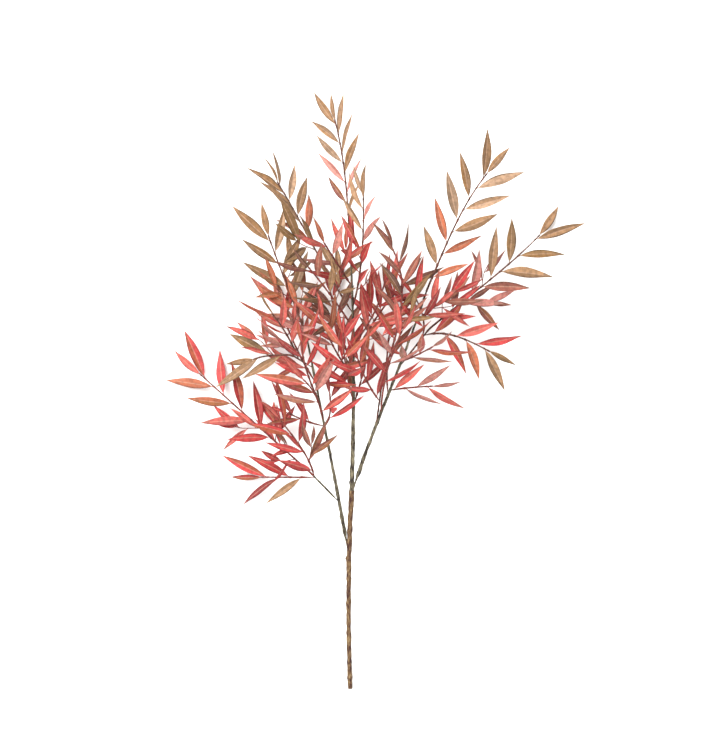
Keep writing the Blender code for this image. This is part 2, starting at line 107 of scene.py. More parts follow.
# Each sprig: as a limb, and its most leaves, the side of its first side leaf (1 right, -1 left),
# the roll of its leaf plane, its size, how open its leaves stand, its tints from tip to root, and
# how much broader and longer its leaves are cut here than on the solids
sprigs = {
    "sprig_far_left": dict(on="branch_low_left", up=None, tip=(-0.256, 0.536, 0.009), turn=(0, 0),
        climb=(6, -6), broad=1.16, leaves=10, side=1, roll=8, size=1.05,
        tints="coral red orange red orange red coral red red deepRed"),
    "sprig_low_left": dict(on="branch_low_left", up=0.361, tip=(-0.152, 0.360, 0.010), turn=(0, 0),
        climb=(8, -8), leaves=5, side=1, roll=0, size=1.0, open=0.85,
        tints="deepRed red deepRed red tan"),
    "sprig_low_left_up": dict(on="branch_low_left", up=0.362, tip=(-0.116, 0.458, 0.082),
        turn=(-18, 8), climb=(8, -8), leaves=7, side=1, roll=20, size=0.95,
        tints="coral red red deepRed red brownRed red"),
    "sprig_left_low": dict(on="bough_left", up=0.448, tip=(-0.105, 0.470, 0.052), turn=(10, -5),
        climb=(5, -5), leaves=4, side=1, roll=30, size=0.75, tints="red deepRed red"),
    "sprig_left_slim": dict(on="bough_left", up=0.456, tip=(-0.078, 0.527, 0.105), turn=(-14, 24),
        climb=(5, -5), leaves=6, side=-1, roll=-10, size=1.0, open=1.3, tints="coral pink coral"),
    "sprig_mid_left_drooping": dict(on="branch_mid_left", up=None, tip=(-0.163, 0.560, 0.046),
        turn=(-8, 14), climb=(8, -12), broad=1.16, leaves=6, side=-1, roll=12, size=1.05, open=0.85,
        tints="tan tan ochre tan coral red"),
    "sprig_mid_left": dict(on="branch_mid_left", up=0.560, tip=(-0.128, 0.635, 0.120), turn=(-8, 8),
        climb=(5, -5), leaves=7, side=-1, roll=-35, size=0.85, tints="tan red coral coral pink red"),
    "sprig_left_tip": dict(on="bough_left", up=None, tip=(-0.137, 0.768, 0.066), turn=(0, -2),
        climb=(0, 0), broad=1.16, leaves=10, side=-1, roll=5, size=0.98,
        tints="tan tan paleTan tan tan tan tan orange coral pink"),
    "sprig_upper_left": dict(on="bough_centre", up=0.637, tip=(-0.123, 0.860, 0.030), turn=(4, 2),
        climb=(6, -6), broad=1.16, leaves=9, side=1, roll=42, size=0.76, open=0.85, longer=1.22,
        tints="tan paleTan tan paleTan tan ochre tan orange"),
    "sprig_inner_left": dict(on="bough_centre", up=0.612, tip=(-0.069, 0.712, 0.150), turn=(-4, 4),
        climb=(5, -5), leaves=7, side=-1, roll=-20, size=0.85, tints="brown brownRed brown tan brown"),
    "sprig_inner_top": dict(on="bough_centre", up=0.681, tip=(-0.043, 0.752, 0.145), turn=(0, 0),
        climb=(5, -5), leaves=6, side=-1, roll=0, size=0.9, tints="orange coral pink coral red"),
    "sprig_top": dict(on="bough_centre", up=None, tip=(-0.026, 0.966, 0.024), turn=(-4, 8),
        climb=(0, -6), leaves=11, side=-1, roll=-30, size=0.88, open=0.7,
        tints="tan tan ochre tan paleTan tan tan pink brownRed tan"),
    "sprig_top_right": dict(on="bough_centre", up=0.645, tip=(0.022, 0.834, 0.140), turn=(-10, 6),
        climb=(4, -4), leaves=10, side=1, roll=-55, size=0.88,
        tints="paleTan tan tan pink tan pink red red red"),
    "sprig_inner_right": dict(on="branch_inner_right", up=None, tip=(0.069, 0.745, 0.128),
        turn=(-16, 34), climb=(4, -4), leaves=10, side=-1, roll=30, size=0.9,
        tints="brownRed ochre brown brownRed brown ochre brownRed red"),
    "sprig_centre_right": dict(on="bough_centre", up=0.585, tip=(0.058, 0.689, 0.104),
        turn=(-14, 14), climb=(4, -4), leaves=6, side=1, roll=24, size=0.85,
        tints="red coral red coral"),
    "sprig_centre_right_outer": dict(on="bough_centre", up=0.560, tip=(0.094, 0.692, 0.070),
        turn=(10, -8), climb=(4, -4), leaves=7, side=1, roll=-12, size=0.9,
        tints="brown coral red coral"),
    "sprig_right_tip": dict(on="bough_right", up=None, tip=(0.231, 0.873, 0.060), turn=(4, -12),
        climb=(0, -4), broad=1.16, leaves=12, side=-1, roll=4, size=1.02,
        tints="tan tan paleTan tan tan paleTan tan orange pink tan orange coral"),
    "sprig_far_right": dict(on="branch_outer_right", up=None, tip=(0.323, 0.772, 0.010),
        turn=(0, 6), climb=(4, -6), broad=1.16, leaves=12, side=1, roll=-4, size=1.03,
        tints="tan tan paleTan ochre tan tan tan brownRed pink brownRed pink red"),
    "sprig_far_right_drooping": dict(on="branch_outer_right", up=0.600, tip=(0.238, 0.573, 0.012),
        turn=(30, -12), climb=(6, -8), broad=1.16, leaves=7, side=1, roll=14, size=0.98,
        tints="ochre tan red orange coral red red"),
    "sprig_mid_right": dict(on="bough_right", up=0.556, tip=(0.138, 0.581, 0.112), turn=(-4, 4),
        climb=(6, -6), leaves=6, side=1, roll=35, size=0.9, tints="pink red coral pink red"),
    "sprig_low_right": dict(on="bough_right", up=0.508, tip=(0.140, 0.515, 0.058), turn=(4, -2),
        climb=(5, -5), leaves=7, side=1, roll=40, size=0.9, tints="pink coral pink red coral red"),
    "sprig_inner_low": dict(on="branch_inner_right", up=0.490, tip=(0.013, 0.561, 0.120),
        turn=(10, -10), climb=(5, -5), leaves=6, side=1, roll=10, size=0.88,
        tints="red coral red red deepRed"),
    "sprig_left_inner_low": dict(on="bough_left", up=0.446, tip=(-0.034, 0.505, 0.080),
        turn=(-26, 12), climb=(5, -5), leaves=6, side=1, roll=30, size=0.9,
        tints="deepRed red brownRed"),
    "sprig_left_inner": dict(on="bough_left", up=0.508, tip=(-0.008, 0.567, 0.100), turn=(-10, 6),
        climb=(5, -5), leaves=7, side=-1, roll=-20, size=0.88, tints="red coral red deepRed"),
    "sprig_centre_slim": dict(on="bough_centre", up=0.481, tip=(0.019, 0.525, 0.050), turn=(0, 0),
        climb=(0, 0), leaves=4, side=1, roll=10, size=0.8, tints="deepRed brownRed"),
    "sprig_right_inner_up": dict(on="branch_outer_right", up=0.596, tip=(0.105, 0.668, 0.100),
        turn=(-30, 20), climb=(6, -6), leaves=6, side=1, roll=-20, size=0.88, tints="red deepRed red"),
    "sprig_right_mid": dict(on="bough_right", up=0.620, tip=(0.176, 0.673, 0.095), turn=(8, -8),
        climb=(6, -6), leaves=7, side=-1, roll=20, size=0.9, tints="red brownRed coral red"),
    "sprig_left_centre": dict(on="bough_left", up=0.485, tip=(-0.080, 0.589, 0.125), turn=(8, -14),
        climb=(8, -8), leaves=7, side=1, roll=0, size=0.9, tints="red deepRed red coral"),
    "sprig_centre_left": dict(on="bough_centre", up=0.530, tip=(-0.046, 0.625, 0.120),
        turn=(10, -10), climb=(6, -6), leaves=8, side=-1, roll=18, size=0.92,
        tints="coral orange pink coral red"),
    "sprig_left_back": dict(on="bough_left", up=0.520, tip=(-0.120, 0.658, 0.017), turn=(8, -10),
        climb=(-4, 4), leaves=8, side=-1, roll=-15, size=0.95, tints="coral red pink coral"),
    "sprig_centre_back": dict(on="bough_centre", up=0.545, tip=(-0.033, 0.674, 0.014), turn=(6, -8),
        climb=(-4, 4), leaves=8, side=1, roll=12, size=0.9, tints="deepRed brownRed red"),
    "sprig_right_back": dict(on="bough_right", up=0.500, tip=(0.079, 0.657, 0.012), turn=(10, -12),
        climb=(-4, 4), leaves=8, side=-1, roll=-10, size=0.9, tints="deepRed red brownRed"),
    "sprig_centre_front": dict(on="bough_centre", up=0.490, tip=(-0.011, 0.603, 0.150),
        turn=(8, -8), climb=(8, -8), leaves=7, side=1, roll=-25, size=0.9, tints="red coral red"),
    "sprig_right_front": dict(on="bough_right", up=0.470, tip=(0.086, 0.607, 0.150), turn=(12, -12),
        climb=(8, -8), leaves=7, side=-1, roll=25, size=0.9, tints="coral red pink red"),
}


def turned(chord, turn, climb):
    # the direction of a chord, turned and raised by some degrees
    flat = math.hypot(chord.x, chord.y)
    heading = math.atan2(chord.y, chord.x) + math.radians(turn)
    rise = math.atan2(chord.z, flat) + math.radians(climb)
    level = math.cos(rise)
    return Vector((math.cos(heading) * level, math.sin(heading) * level, math.sin(rise)))


def stationsAlong(steps, length, necked):
    # even shares from 0 to 1, and one where the neck ends
    stations = [k / steps for k in range(steps + 1)]
    if not necked:
        return stations
    neck = min(growth["neckLength"] / length, growth["longestNeck"])
    room = growth["neckRoom"] / steps
    return sorted([s for s in stations if abs(s - neck) > room] + [neck])


def curvePoint(ends, s):
    # one smooth curve that leaves root along start and reaches tip along finish
    root, tip, start, finish = ends
    reach = (tip - root).length
    return (
        root * (2 * s**3 - 3 * s**2 + 1)
        + start * (reach * (s**3 - 2 * s**2 + s))
        + tip * (3 * s**2 - 2 * s**3)
        + finish * (reach * (s**3 - s**2))
    )


def atHeight(limb, height):
    # the point of a limb's axis at this height, its direction and its radius there
    points, radii = limb["points"], limb["widths"]
    for k in range(len(points) - 1):
        low, high = points[k], points[k + 1]
        if low.y <= height <= high.y:
            share = (height - low.y) / (high.y - low.y)
            radius = radii[k] + (radii[k + 1] - radii[k]) * share
            return low.lerp(high, share), (high - low).normalized(), radius
    raise ValueError(f"no point at height {height}")


def layOut(row, parent, radii, steps):
    # the same points as the solid's axis, and where the limb joins its parent's axis
    tip = Vector(row["tip"])
    neck = 1 if row["up"] is None or parent is None else growth["neckShare"]
    radius = radii[0] * neck
    if parent is None:
        root = Vector((0, 0, radii[0]))
        start = turned(tip - root, row["turn"][0], row["climb"][0])
        root = root * math.hypot(start.x, start.y)
        joint = root
    elif row["up"] is None:
        joint = parent["points"][-1]
        along = (joint - parent["points"][-2]).normalized()
        start = turned(tip - joint, row["turn"][0], row["climb"][0])
        root = joint + along * growth["clearance"] + start * (radius * math.sin(along.angle(start)))
        joint = joint - along * growth["jointDepth"]
    else:
        joint, along, parentRadius = atHeight(parent, row["up"])
        start = turned(tip - joint, row["turn"][0], row["climb"][0])
        angle = along.angle(start)
        standOff = parentRadius + growth["clearance"] + radius * math.cos(angle)
        root = joint + start * (standOff / math.sin(angle))
    finish = turned(tip - root, row["turn"][1], row["climb"][1])
    ends = (root, tip, start, finish)
    length = (tip - root).length
    points = [curvePoint(ends, s) for s in stationsAlong(steps, length, neck < 1)]
    run, widths = 0.0, []
    for k, point in enumerate(points):
        run += (point - points[k - 1]).length if k else 0
        swelling = min(1, neck + (1 - neck) * run / growth["neckLength"])
        widths.append((radii[0] + (radii[1] - radii[0]) * min(1, run / length)) * swelling)
    return {"points": points, "widths": widths, "joint": joint}


laid = {}
for name, row in limbs.items():
    laid[name] = layOut(row, laid.get(row["on"]), row["radii"], growth["limbSteps"])
for name, row in sprigs.items():
    laid[name] = layOut(row, laid[row["on"]], growth["twigRadii"], growth["twigSteps"])

# the spray's own origin in the frame, from the cut end that the record states
cutEnd = next(m for m in frame["record"]["mounts"] if m["name"] == "cut_end")
shift = Vector(cutEnd["pos_m"]) - laid["stem"]["joint"]
report("axes laid out")


# Leaf colours as they look under the studio light, in sRGB
tints = {
    "paleTan": "#BF9A7A", "tan": "#AA815B", "ochre": "#A0794E", "orange": "#C8714F",
    "pink": "#D5897D", "coral": "#DA6459", "red": "#D04644", "deepRed": "#AC403E",
    "brownRed": "#A45F4E", "brown": "#855A49",
}


def linear(code):
    # an sRGB code as linear light
    values = [int(code[i:i + 2], 16) / 255 for i in (1, 3, 5)]
    return tuple(v / 12.92 if v <= 0.04045 else ((v + 0.055) / 1.055) ** 2.4 for v in values)


def mixed(a, b, share):
    return tuple(x + (y - x) * share for x, y in zip(a, b))


def scaled(colour, strength):
    return tuple(min(1, c * strength) for c in colour)


def newMaterial(name, roughness, specular):
    material = bpy.data.materials.new(name)
    material.use_nodes = True
    tree = material.node_tree
    shader = tree.nodes["Principled BSDF"]
    shader.inputs["Roughness"].default_value = roughness
    shader.inputs["Specular IOR Level"].default_value = specular
    return material, tree, shader


def addNoise(tree, scale, detail=3.0, roughness=0.55, stretch=None):
    coordinates = tree.nodes.new("ShaderNodeTexCoord")
    texture = tree.nodes.new("ShaderNodeTexNoise")
    texture.inputs["Scale"].default_value = scale
    texture.inputs["Detail"].default_value = detail
    texture.inputs["Roughness"].default_value = roughness
    source = coordinates.outputs["Object"]
    if stretch:
        mapping = tree.nodes.new("ShaderNodeMapping")
        mapping.inputs["Scale"].default_value = stretch
        tree.links.new(source, mapping.inputs["Vector"])
        source = mapping.outputs["Vector"]
    tree.links.new(source, texture.inputs["Vector"])
    return texture


def addRamp(tree, fac, stops):
    ramp = tree.nodes.new("ShaderNodeValToRGB")
    elements = ramp.color_ramp.elements
    while len(elements) < len(stops):
        elements.new(1.0)
    for element, (position, colour) in zip(elements, stops):
        element.position = position
        element.color = (*colour, 1)
    tree.links.new(fac, ramp.inputs["Fac"])
    return ramp.outputs["Color"]


def addBump(tree, shader, height, distance, strength):
    bump = tree.nodes.new("ShaderNodeBump")
    bump.inputs["Distance"].default_value = distance
    bump.inputs["Strength"].default_value = strength
    tree.links.new(height, bump.inputs["Height"])
    tree.links.new(bump.outputs["Normal"], shader.inputs["Normal"])


# Printed cloth leaf: soft blotches of dye and a fine weave. Each leaf takes a shade of its tint at random
# for each half, and where the halves differ that is painted light and shade of the fold. It has a paler
# midrib, many have one edge darkened as painted shade or a greyer tip, and on some one half has turned brown
leafCloth = {
    "roughness": 0.55, "specular": 0.25, "dyeStrength": 0.48,
    "blotchScale": 170.0, "blotchStops": (0.38, 0.50, 0.62), "darker": 0.76, "lighter": 1.16,
    "weaveScale": 2600.0, "weaveDetail": 1.0, "weaveDepth": 0.00006, "weaveStrength": 0.35,
    # three shades of each tint, dealt at random; where a leaf's two halves differ, that is painted light and
    # shade of the fold
    "shades": (0.78, 1.0, 1.24), "shadeWeights": (0.3, 0.4, 0.3), "tintJitter": 0.05,
    "edge": 0.52, "edgeChance": 0.8,  # how dark the painted shade along one edge is
    "rib": 0.42, "ribColour": "#E0B79A",  # shares of these colours mixed into the tint
    "tip": 0.45, "tipColour": "#8A7462", "tipChance": 0.6, "tipRows": (14, 19),
    "turn": 0.5, "turnColour": "#A0703C", "turnChance": 0.3,
}


def clothMaterial(name, colour):
    material, tree, shader = newMaterial(name, leafCloth["roughness"], leafCloth["specular"])
    blotches = addNoise(tree, leafCloth["blotchScale"])
    dark = tuple(c * leafCloth["darker"] for c in colour)
    light = tuple(min(1, c * leafCloth["lighter"]) for c in colour)
    stops = list(zip(leafCloth["blotchStops"], (dark, colour, light)))
    tree.links.new(addRamp(tree, blotches.outputs["Fac"], stops), shader.inputs["Base Color"])
    weave = addNoise(tree, leafCloth["weaveScale"], leafCloth["weaveDetail"])
    addBump(tree, shader, weave.outputs["Fac"], leafCloth["weaveDepth"], leafCloth["weaveStrength"])
    return material


# Moulded plastic bark: the base colour, dark patches and light patches of each kind, and its finish
barkLook = {
    "colours": {
        "brown": ("#80603F", "#47221D", "#B89B6E"),
        "olive": ("#746A54", "#2E251E", "#A69A7A"),
        "reddish": ("#74443A", "#3C201C", "#9C6C56"),
    },
    "roughness": 0.7, "specular": 0.25, "dyeStrength": 0.46, "stretch": (1, 0.3, 1),
    "patchScale": 260.0, "patchDetail": 6.0, "patchRoughness": 0.68,
    "patchStops": (0.43, 0.49, 0.55, 0.63),
    "grainScale": 700.0, "grainDepth": 0.00025, "grainStrength": 0.8,
}


def barkMaterial(name, colours):
    look = barkLook
    base, dark, light = [scaled(linear(code), look["dyeStrength"]) for code in colours]
    material, tree, shader = newMaterial(name, look["roughness"], look["specular"])
    patches = addNoise(tree, look["patchScale"], look["patchDetail"], look["patchRoughness"], look["stretch"])
    stops = list(zip(look["patchStops"], (dark, base, base, light)))
    tree.links.new(addRamp(tree, patches.outputs["Fac"], stops), shader.inputs["Base Color"])
    grain = addNoise(tree, look["grainScale"], stretch=look["stretch"])
    addBump(tree, shader, grain.outputs["Fac"], look["grainDepth"], look["grainStrength"])
    return material


def newPiece(name, vertices, faces, materials, slots=None):
    # a smooth mesh in the spray's own coordinates, placed where the spray lies in the frame
    mesh = bpy.data.meshes.new(name)
    mesh.from_pydata(vertices, [], faces)
    mesh.polygons.foreach_set("use_smooth", [True] * len(mesh.polygons))
    for material in materials:
        mesh.materials.append(material)
    if slots is not None:
        mesh.polygons.foreach_set("material_index", slots)
    mesh.update()
    piece = bpy.data.objects.new(name, mesh)
    bpy.context.scene.collection.objects.link(piece)
    piece.location = shift
    return piece


def tubeMesh(points, radii, sides, relief=None):
    # rings round a smooth line, each turned as little as possible from the last, with both ends closed
    vertices, faces = [], []
    side = None
    for k, point in enumerate(points):
        ahead = points[min(k + 1, len(points) - 1)] - points[max(k - 1, 0)]
        along = ahead.normalized()
        if side is None:
            side = along.cross(up).normalized()
        side = (side - along * side.dot(along)).normalized()
        other = along.cross(side)
        for i in range(sides):
            angle = 2 * math.pi * i / sides
            out = side * math.cos(angle) + other * math.sin(angle)
            radius = radii[k] * (relief(k, angle, point + out * radii[k]) if relief else 1)
            vertices.append(point + out * radius)
    for k in range(len(points) - 1):
        for i in range(sides):
            j = (i + 1) % sides
            faces.append((k * sides + j, k * sides + i, (k + 1) * sides + i, (k + 1) * sides + j))
    last = (len(points) - 1) * sides
    faces.append(tuple(range(sides)))
    faces.append(tuple(last + i for i in reversed(range(sides))))
    return vertices, faces


# How the axis of a limb or twig is refined: over how many metres it is smoothed, and at least how
# many stations that takes in, and how many rings it has
axisRule = {"smoothedOver": 0.02, "fewestSmoothed": 3, "fewestRings": 8}


def axisOf(name, step):
    # a finer line along the same axis, begun inside the parent, with its length run and radii
    line = laid[name]
    knots, widths = list(line["points"]), list(line["widths"])
    if line["joint"] != knots[0]:
        knots.insert(0, line["joint"])
        widths.insert(0, widths[0])
    runs = np.cumsum([0] + [(b - a).length for a, b in zip(knots, knots[1:])])
    count = max(axisRule["fewestRings"], int(runs[-1] / step))
    wanted = np.linspace(0, runs[-1], count)
    coordinates = np.array([tuple(k) for k in knots])
    smooth = np.stack([np.interp(wanted, runs, coordinates[:, i]) for i in range(3)], 1)
    window = max(axisRule["fewestSmoothed"], int(axisRule["smoothedOver"] / step)) | 1  # odd
    kernel = np.hanning(window + 2)[1:-1]
    kernel /= kernel.sum()
    before = 2 * smooth[0] - smooth[window // 2:0:-1]
    after = 2 * smooth[-1] - smooth[-2:-window // 2 - 1:-1]
    padded = np.concatenate([before, smooth, after])
    smooth = np.stack([np.convolve(padded[:, i], kernel, "valid") for i in range(3)], 1)
    return [Vector(p) for p in smooth], wanted, np.interp(wanted, runs, widths)


# Bark relief: uneven thickness, lengthwise ridges and knobs
barkShape = {
    "step": 0.0011, "sides": 20, "thicker": 1.1, "unevenness": 0.2, "unevenScale": 75.0,
    "ridges": 0.2, "ridgeScale": 430.0, "ridgeStretch": 0.25,
    "knobEvery": 0.036, "knobSpaces": (0.6, 1.5), "firstKnob": (0.3, 1.0),
    "knobHeight": 0.5, "knobSizes": (0.4, 1.0), "knobLength": 0.0034, "knobRoundness": 1.5,
}
bulgeEnds = 2.5  # a knob or a swelling ends at this many of its own lengths
barks = {kind: barkMaterial(kind + "Bark", codes) for kind, codes in barkLook["colours"].items()}


def bulge(distance, length):
    # how far a knob or a swelling stands out here, from 1 at its middle to 0
    near = distance / length
    return math.exp(-near * near) if abs(near) < bulgeEnds else 0


def knobsAlong(length, rng):
    # each: its place along the limb, the angle it faces and its height
    knobs = []
    place = rng.uniform(*barkShape["firstKnob"]) * barkShape["knobEvery"]
    while place < length:
        towards = rng.uniform(0, 2 * math.pi)
        knobs.append((place, towards, rng.uniform(*barkShape["knobSizes"]) * barkShape["knobHeight"]))
        place += rng.uniform(*barkShape["knobSpaces"]) * barkShape["knobEvery"]
    return knobs


def limbPiece(name):
    shape = barkShape
    points, runs, radii = axisOf(name, shape["step"])
    knobs = knobsAlong(runs[-1], random.Random(name))

    def relief(k, angle, at):
        bumps = noise.noise(at * shape["unevenScale"]) * shape["unevenness"]
        grooves = Vector((at.x, at.y * shape["ridgeStretch"], at.z)) * shape["ridgeScale"]
        bumps += noise.noise(grooves) * shape["ridges"]
        for place, towards, height in knobs:
            facing = (0.5 + 0.5 * math.cos(angle - towards)) ** shape["knobRoundness"]
            bumps += height * bulge(runs[k] - place, shape["knobLength"]) * facing
        return shape["thicker"] * (1 + bumps)

    vertices, faces = tubeMesh(points, radii, shape["sides"], relief)
    floorHeight = -shift.z
    vertices = [Vector((v.x, v.y, max(v.z, floorHeight))) for v in vertices]
    piece = newPiece(name + "_bark", vertices, faces, [barks[limbs[name]["bark"]]])
    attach(piece, "root")
    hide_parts(name)


for name in limbs:
    limbPiece(name)
report("stem and boughs")


# The leaf rule of the solids, from tip to root of a sprig: lengths and spaces in metres, shares of
# the longest leaf, and angles in degrees
leafRule = {
    "length": 0.080,
    "shares": (0.68, 1.0, 0.94, 0.90, 0.90, 0.98, 0.97, 0.94, 0.84, 0.80, 0.72, 0.64),
    "widthShare": 0.168, "droop": 0.09, "cup": 12,
    "firstSpace": 0.013, "space": 0.0205, "tipSink": 0.004,
    "spreadAtTip": 29, "spreadAtRoot": 45, "tipLeafTurn": 5,
    "spreadJitter": 4, "liftJitter": 12, "twistJitter": 25, "lengthJitter": 0.04,
    "tries": (0, 14, -14, 28, -28, 42, -42, 56),
}


def behindTip(points, distance):
    # the point of a line this far behind its tip, and the line's direction there
    left = distance
    for k in range(len(points) - 1, 0, -1):
        span = (points[k] - points[k - 1]).length
        if left <= span:
            return points[k].lerp(points[k - 1], left / span), (points[k] - points[k - 1]).normalized()
        left -= span
    return None


def leafPoses(row, points, rng):
    # every leaf the rule gives this twig: number, root, direction, normal, length, lift, twist
    rule = leafRule
    for k in range(row["leaves"]):
        distance = (rule["firstSpace"] + rule["space"] * (k - 1)) * row["size"] if k else rule["tipSink"]
        side = row["side"] * (1 if k % 2 else -1)
        fan = rule["spreadAtRoot"] - rule["spreadAtTip"]
        spread = rule["spreadAtRoot"] - fan / k if k else rule["tipLeafTurn"]
        spread = spread * row.get("open", 1) + rng.uniform(-rule["spreadJitter"], rule["spreadJitter"])
        lift = rng.uniform(-rule["liftJitter"], rule["liftJitter"])
        twist = rng.uniform(-rule["twistJitter"], rule["twistJitter"])
        length = rule["length"] * rule["shares"][k] * row["size"]
        length *= rng.uniform(1 - rule["lengthJitter"], 1 + rule["lengthJitter"])
        found = behindTip(points, distance)
        if found is None:
            return
        root, along = found
        flat = (up - along * up.dot(along)).normalized()
        normal = Quaternion(along, math.radians(row["roll"])) @ flat
        angle = math.radians(spread)
        out = along * math.cos(angle) + along.cross(normal) * (side * math.sin(angle))
        yield k, root, out, normal, length, lift, twist


def posed(out, normal, lift, twist):
    # a leaf's direction and normal, raised and then twisted by some degrees
    raised = Quaternion(out.cross(normal).normalized(), math.radians(lift))
    along = raised @ out
    return along, Quaternion(along, math.radians(twist)) @ (raised @ normal)


# How a leaf of the rule is found in its sprig's solid: the places along it that are tested, how far
# they may be from the solid's surface, and where a place lies whose leaf is pressed to the floor
leafTest = {"places": (0.35, 0.6, 0.85), "farthest": 0.0011, "pressedBelow": 0.002, "pressedTo": 0.0005}


def restsInSolid(tree, root, along, normal, length):
    # whether the sprig's solid has a leaf just here
    for s in leafTest["places"]:
        centre = root + along * (length * s) - normal * (leafRule["droop"] * length * s * s)
        centre = centre + shift
        if centre.z < leafTest["pressedBelow"]:
            centre.z = leafTest["pressedTo"]
        near = tree.find_nearest(centre)
        if near[0] is None or near[3] > leafTest["farthest"]:
            return False
    return True


def grownLeaves(name):
    # the leaves that the sprig's solid has, each at the tilt that was free for it, and at its share of
    # the sprig from the tip
    mesh = frame["nodes"][name].data
    tree = BVHTree.FromPolygons([v.co for v in mesh.vertices], [p.vertices for p in mesh.polygons])
    row = sprigs[name]
    rng = random.Random(growth["seed"] * growth["seedsPerSpray"] + list(sprigs).index(name))
    leaves = []
    for k, root, out, normal, length, lift, twist in leafPoses(row, laid[name]["points"], rng):
        for extra in leafRule["tries"]:
            along, face = posed(out, normal, leafRule["cup"] + lift + extra, twist)
            if restsInSolid(tree, root, along, face, length):
                leaves.append({"root": root, "along": along, "normal": face, "length": length,
                    "share": (k + 0.5) / row["leaves"]})
                break
    return leaves


# Finer twigs on the sprigs, by the same leaf rule, within the reach of the crown: how many each
# sprig has, how far behind its tip they leave (share of its length), their sizes, how near their
# leaves may come to the limbs, the sides and the floor, and where their tints come in the sprig's row
fineTwigs = {
    "counts": {
        "sprig_far_left": 3, "sprig_low_left_up": 2, "sprig_mid_left_drooping": 1,
        "sprig_mid_left": 2, "sprig_left_tip": 4, "sprig_upper_left": 2, "sprig_inner_left": 2,
        "sprig_inner_top": 1, "sprig_top_right": 2, "sprig_inner_right": 1,
        "sprig_centre_right_outer": 2, "sprig_far_right": 3, "sprig_right_mid": 1,
        "sprig_centre_left": 1, "sprig_left_back": 2,
    },
    "places": (0.45, 0.92), "placeJitter": (0.2, 0.8), "spread": (30, 48), "lift": 22,
    "length": (0.030, 0.045), "radii": (0.0009, 0.0006), "steps": 6, "lowestTip": 0.004,
    "leaves": (3, 5), "size": (0.62, 0.8), "roll": 35, "tested": (0.3, 0.6, 0.95),
    "limbRoom": 0.0035, "sideRoom": 0.002, "floorRoom": -0.004, "firstTint": 0.35, "tintSpan": 0.6,
}


def limbTree():
    # the surface of all the limbs
    vertices, faces = [], []
    for name in limbs:
        mesh = frame["nodes"][name].data
        faces += [tuple(len(vertices) + i for i in p.vertices) for p in mesh.polygons]
        vertices += [v.co for v in mesh.vertices]
    return BVHTree.FromPolygons(vertices, faces)


def hasRoom(tree, root, along, length):
    # whether a leaf here stays inside the crown and clear of the limbs
    for s in fineTwigs["tested"]:
        point = root + along * (length * s) + shift
        inside = all(abs(point[axis]) < solidBox[1][axis] - fineTwigs["sideRoom"] for axis in (0, 1))
        near = tree.find_nearest(point)
        if not inside or point.z <= fineTwigs["floorRoom"] or near[3] <= fineTwigs["limbRoom"]:
            return False
    return True


def fineTwigsOf(name, tree):
    # each: its points, radii and leaves
    settings, row, points = fineTwigs, sprigs[name], laid[name]["points"]
    rng = random.Random(name + "Fine")
    whole = sum((b - a).length for a, b in zip(points, points[1:]))
    shares = [k / settings["steps"] for k in range(settings["steps"] + 1)]
    found = []
    count = settings["counts"].get(name, 0)
    for i in range(count):
        first, last = settings["places"]
        share = first + (last - first) * (i + rng.uniform(*settings["placeJitter"])) / count
        start, along = behindTip(points, share * whole)
        flat = (up - along * up.dot(along)).normalized()
        normal = Quaternion(along, math.radians(row["roll"])) @ flat
        side = (1 if i % 2 else -1) * row["side"]
        spread = math.radians(rng.uniform(*settings["spread"]))
        out = along * math.cos(spread) + along.cross(normal) * (side * math.sin(spread))
        out = (out + up * math.sin(math.radians(rng.uniform(-1, 1) * settings["lift"]))).normalized()
        length = rng.uniform(*settings["length"])
        tip = start + out * length
        tip.z = max(tip.z, settings["lowestTip"])
        bend = (along + out).normalized()
        line = [curvePoint((start, tip, out, bend), s) for s in shares]
        size = rng.uniform(*settings["size"])
        ownRow = dict(leaves=rng.randint(*settings["leaves"]), side=-side, size=size,
            roll=row["roll"] + rng.uniform(-1, 1) * settings["roll"])
        place = settings["firstTint"] + settings["tintSpan"] * share
        leaves = []
        for _, root, ahead, face, leafLength, lift, twist in leafPoses(ownRow, line, rng):
            ahead, face = posed(ahead, face, leafRule["cup"] + lift, twist)
            if hasRoom(tree, root, ahead, leafLength):
                leaves.append({"root": root, "along": ahead, "normal": face, "length": leafLength,
                    "share": place})
        first, last = settings["radii"]
        radii = [first + (last - first) * s for s in shares]
        if leaves:
            found.append((line, radii, leaves))
    return found


# One leaf: a folded, arched blade of thin cloth with its outline, midrib and side veins
leafShape = {
    "stations": 20, "stationBias": 0.95, "across": (-1, -0.74, -0.42, -0.11, 0, 0.11, 0.42, 0.74, 1),
    "longer": 1.1, "wider": 1.1, "widths": (0.9, 1.1),
    "belly": 0.86, "fullness": 0.96, "slimmerTip": 0.2,
    "stalk": 0.05, "stalkHalf": 0.00055, "thickness": 0.00032, "fold": (8, 24),
    "sickle": 0.10, "arch": 0.07, "twistAlong": 18,
    "edgeWave": 0.14, "waveSizes": (0.3, 1), "waves": 1.6, "waveShift": 0.8, "wavePhases": (0, 6.28),
    "groove": 0.00022, "grooveWidth": 0.12, "veins": 9, "veinHeight": 0.00016, "veinSlant": 0.16,
    "ribDrop": 0.0002, "overFloor": 0.0008,
}


def bladeShare(s):
    # half width along the leaf, as a share of its widest
    shape = leafShape
    s = np.clip((s - shape["stalk"]) / (1 - shape["stalk"]), 0, 1)
    return np.sin(np.pi * s ** shape["belly"]) ** shape["fullness"] * (1 - shape["slimmerTip"] * s**4)


